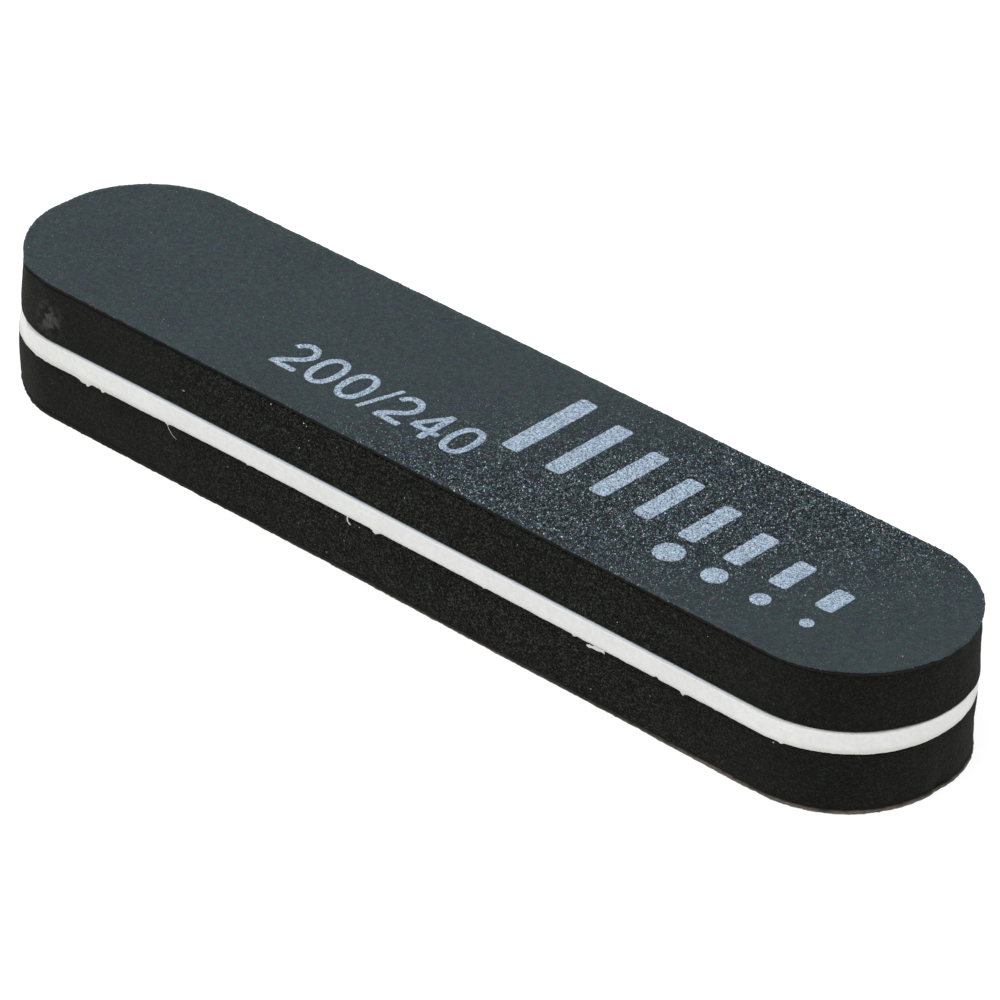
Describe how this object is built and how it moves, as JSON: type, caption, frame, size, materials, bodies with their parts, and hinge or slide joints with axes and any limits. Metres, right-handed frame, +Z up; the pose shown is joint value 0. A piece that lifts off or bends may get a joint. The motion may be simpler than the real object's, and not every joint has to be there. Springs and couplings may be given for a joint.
{
  "type": "nail buffer",
  "caption": "Hand-held sponge nail buffer: abrasive sheets on foam pads bonded either side of a stiff core board, with straight sides, rounded ends and printed grit numbers.",
  "frame": {"origin": "centre of the underside of the bounding box: on the lower abrasive face, under the middle of the core board", "axes": "+X along the length, towards the end nearest the printed scale's last dot; +Y across the width, so that the printed numbers read along +X seen from above; +Z up through the layers, out of the printed face"},
  "size_m": [0.0906, 0.0198, 0.0121],
  "materials": {
    "top_grit": "matte",
    "bottom_grit": "matte",
    "backing_paper": "matte",
    "adhesive": "satin",
    "foam": "matte",
    "core": "matte",
    "print_ink": "matte"
  },
  "bodies": {
    "root": {"top_grit_coat": "top_grit", "top_backing_paper": "backing_paper", "top_adhesive_film": "adhesive", "upper_foam_pad": "foam", "upper_core_adhesive": "adhesive", "core_board": "core", "lower_core_adhesive": "adhesive", "lower_foam_pad": "foam", "bottom_adhesive_film": "adhesive", "bottom_backing_paper": "backing_paper", "bottom_grit_coat": "bottom_grit", "grit_mark_a_two": "print_ink", "grit_mark_b_zero": "print_ink", "grit_mark_c_zero": "print_ink", "grit_mark_d_slash": "print_ink", "grit_mark_e_two": "print_ink", "grit_mark_f_four": "print_ink", "grit_mark_g_zero": "print_ink", "scale_bar_1": "print_ink", "scale_bar_2": "print_ink", "scale_bar_3": "print_ink", "scale_bar_4": "print_ink", "scale_bar_5": "print_ink", "scale_bar_6": "print_ink", "scale_bar_7": "print_ink", "scale_bar_8": "print_ink", "scale_dot_1": "print_ink", "scale_dot_2": "print_ink", "scale_dot_3": "print_ink", "scale_dot_4": "print_ink"}
  },
  "joints": []
}
